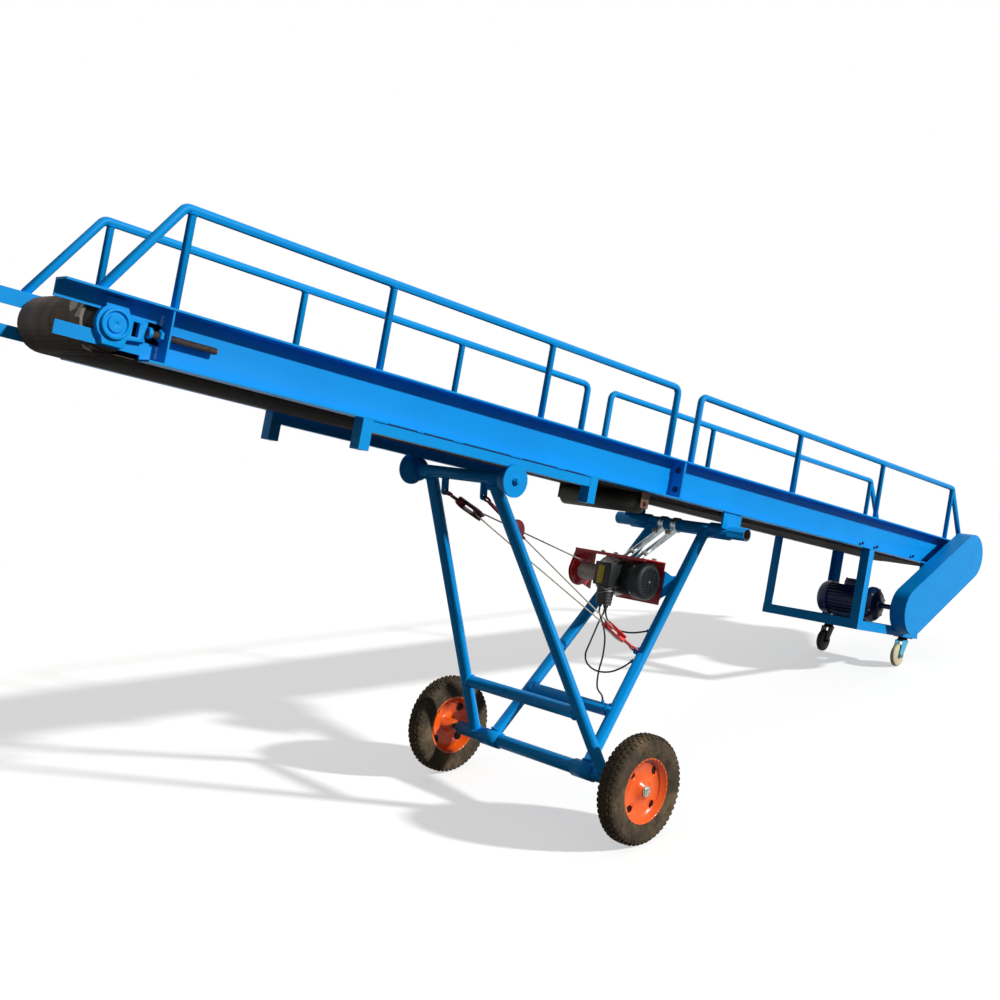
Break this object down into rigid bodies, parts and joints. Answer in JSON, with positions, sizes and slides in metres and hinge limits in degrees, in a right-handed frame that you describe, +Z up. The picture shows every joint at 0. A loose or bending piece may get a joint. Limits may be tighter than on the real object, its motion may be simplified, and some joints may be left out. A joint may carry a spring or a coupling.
{
  "type": "portable belt conveyor",
  "caption": "Portable inclined belt conveyor with pipe side rails, on a folding wheeled A-frame with a rope hoist, and with a motor frame on casters.",
  "frame": {"origin": "on the floor, under the middle of the whole machine's box", "axes": "+X toward the low drive end, +Y to the far side of the belt, +Z up; the belt falls toward +X at 17.5 degrees"},
  "size_m": [5.3976, 1.228, 2.4668],
  "materials": {
    "blue_paint": "gloss azure blue paint",
    "belt_rubber": "worn black conveyor belting",
    "bare_steel": "bare steel with light rust",
    "black_plastic": "black, slightly rough",
    "orange_paint": "orange paint on pressed steel",
    "tyre_rubber": "dusty tyre rubber",
    "navy_paint": "dark blue enamel",
    "zinc_plate": "zinc plated",
    "cream_nylon": "cream nylon",
    "red_paint": "red paint",
    "cast_alloy": "cast aluminium"
  },
  "bodies": {
    "conveyor": {"beam_upper_near": "blue_paint", "beam_upper_far": "blue_paint", "beam_lower_near": "blue_paint", "beam_lower_far": "blue_paint", "rail_upper_near": "blue_paint", "rail_upper_far": "blue_paint", "rail_lower_near": "blue_paint", "rail_lower_far": "blue_paint", "slider_bed": "blue_paint", "belt": "belt_rubber", "tail_drum": "bare_steel", "drive_drum": "bare_steel", "takeup_housing_near": "blue_paint", "takeup_housing_far": "blue_paint", "takeup_screw_near": "bare_steel", "takeup_screw_far": "bare_steel", "drive_bearing_near": "blue_paint", "drive_bearing_far": "blue_paint", "return_idler": "black_plastic", "idler_bracket_near": "bare_steel", "idler_bracket_far": "bare_steel", "roller_track_near": "blue_paint", "roller_track_far": "blue_paint", "pivot_bracket_near": "blue_paint", "pivot_bracket_far": "blue_paint", "drive_frame": "blue_paint", "drive_motor": "navy_paint", "belt_guard": "blue_paint", "caster_plate_near": "zinc_plate", "caster_plate_far": "zinc_plate"},
    "rear_legs": {"rear_leg_frame": "blue_paint", "hoist_frame": "red_paint", "hoist_drum": "red_paint", "hoist_gearbox": "cast_alloy", "hoist_motor": "black_plastic", "hoist_fan_cover": "black_plastic", "hoist_switch_box": "black_plastic", "hoist_hanger_near": "zinc_plate", "hoist_hanger_far": "zinc_plate", "rope_block_rear": "red_paint", "hoist_rope": "zinc_plate", "cable_loop": "black_plastic", "cable_drop": "black_plastic", "cable_link": "black_plastic"},
    "front_legs": {"front_leg_frame": "blue_paint", "rope_block_front": "black_plastic", "rope_anchor": "red_paint"},
    "wheel_near": {"rim_near": "orange_paint", "tyre_near": "tyre_rubber"},
    "wheel_far": {"rim_far": "orange_paint", "tyre_far": "tyre_rubber"},
    "roller_near": {"guide_roller_near": "blue_paint"},
    "roller_far": {"guide_roller_far": "blue_paint"},
    "caster_near": {"caster_fork_near": "zinc_plate"},
    "caster_far": {"caster_fork_far": "zinc_plate"},
    "caster_roll_near": {"caster_wheel_near": "cream_nylon"},
    "caster_roll_far": {"caster_wheel_far": "black_plastic"}
  },
  "joints": [
    {"name": "rear_leg_hinge", "type": "hinge", "parent": "conveyor", "child": "rear_legs", "pos_m": [0.33918, 0, 1.04943], "axis": [0, 1, 0], "range_deg": [-8, 18]},
    {"name": "axle_fold", "type": "hinge", "parent": "rear_legs", "child": "front_legs", "pos_m": [-0.67072, 0, 0.222], "axis": [0, 1, 0], "range_deg": [-36.5, 16.5], "deforming": ["hoist_rope"]},
    {"name": "wheel_spin_near", "type": "hinge", "parent": "front_legs", "child": "wheel_near", "pos_m": [-0.67072, -0.57, 0.222], "axis": [0, 1, 0], "continuous": true},
    {"name": "wheel_spin_far", "type": "hinge", "parent": "front_legs", "child": "wheel_far", "pos_m": [-0.67072, 0.57, 0.222], "axis": [0, 1, 0], "continuous": true},
    {"name": "guide_roller_spin_near", "type": "hinge", "parent": "front_legs", "child": "roller_near", "pos_m": [-1.02489, -0.28, 1.47863], "axis": [0, 1, 0], "continuous": true},
    {"name": "guide_roller_spin_far", "type": "hinge", "parent": "front_legs", "child": "roller_far", "pos_m": [-1.02489, 0.28, 1.47863], "axis": [0, 1, 0], "continuous": true},
    {"name": "caster_swivel_near", "type": "hinge", "parent": "conveyor", "child": "caster_near", "pos_m": [2.04405, -0.236, 0.15406], "axis": [0.3001, 0, 0.9539], "continuous": true},
    {"name": "caster_wheel_spin_near", "type": "hinge", "parent": "caster_near", "child": "caster_roll_near", "pos_m": [1.97855, -0.236, 0.0625], "axis": [0, 1, 0], "continuous": true},
    {"name": "caster_swivel_far", "type": "hinge", "parent": "conveyor", "child": "caster_far", "pos_m": [2.04405, 0.236, 0.15406], "axis": [0.3001, 0, 0.9539], "continuous": true},
    {"name": "caster_wheel_spin_far", "type": "hinge", "parent": "caster_far", "child": "caster_roll_far", "pos_m": [1.97855, 0.236, 0.0625], "axis": [0, 1, 0], "continuous": true}
  ],
  "couplings": [
    {"joint": "axle_fold", "follows": "rear_leg_hinge", "ratio": -2}
  ]
}
